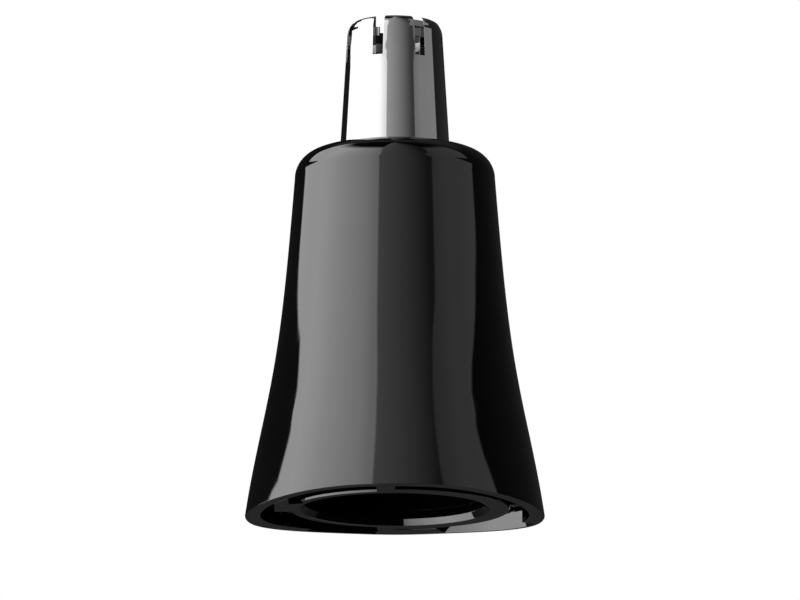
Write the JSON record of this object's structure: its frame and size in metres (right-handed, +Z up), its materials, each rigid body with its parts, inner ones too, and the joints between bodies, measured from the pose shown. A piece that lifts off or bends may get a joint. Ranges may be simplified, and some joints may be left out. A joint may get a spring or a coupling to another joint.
{
  "type": "snoot",
  "caption": "Bell-shaped snoot: gloss black flared bell with a removable light tunnel, hung from a slotted chrome collet neck that grips a lamp head's nozzle.",
  "frame": {"origin": "centre of the neck's top rim, on the bore's axis, where the lamp head's nozzle goes in", "axes": "+Z up along the axis, out of the neck; the bell hangs towards -Z; -Y is the front"},
  "size_m": [0.105, 0.1042, 0.1774],
  "materials": {
    "gloss_black": "gloss black lacquer",
    "tunnel_black": "matt black, light absorbing",
    "chrome": "polished chrome plate",
    "steel": "turned steel",
    "black_steel": "blackened steel",
    "aluminium": "turned aluminium",
    "brass": "turned brass",
    "spring_steel": "drawn spring wire",
    "fibre": "vulcanised fibre",
    "silicone": "heat resistant silicone",
    "black_rubber": "moulded rubber"
  },
  "bodies": {
    "bell": {"neck_collet": "chrome", "neck_trim_ring": "chrome", "grip_ring": "spring_steel", "index_key": "steel", "retaining_ring": "black_steel", "thrust_spring": "spring_steel", "spring_seat": "steel", "outer_bell": "gloss_black", "rim_ring": "gloss_black", "rim_pad": "gloss_black", "fibre_washer": "fibre", "ring_nut": "black_steel", "nut_set_screw": "black_steel", "anti_turn_pin": "steel", "bayonet_socket": "black_steel", "socket_set_screws": "black_steel"},
    "thrust": {"thrust_ring": "brass"},
    "tunnel": {"mouth_ring": "gloss_black", "cone_gasket": "black_rubber", "inner_cone": "tunnel_black", "flange_screws": "black_steel", "cone_collar": "aluminium", "collar_rivets": "aluminium", "bayonet_pins": "steel", "throat_seal": "silicone"}
  },
  "joints": [
    {"name": "thrust_slide", "type": "slide", "parent": "bell", "child": "thrust", "axis": [0, 0, -1], "range_m": [0, 0.005], "stiffness_N_per_m": 600, "springref_m": -0.004, "deforming": ["thrust_spring"]},
    {"name": "tunnel_turn", "type": "hinge", "parent": "bell", "child": "tunnel", "pos_m": [0, 0, 0], "axis": [0, 0, 1], "range_deg": [0, 30]}
  ]
}
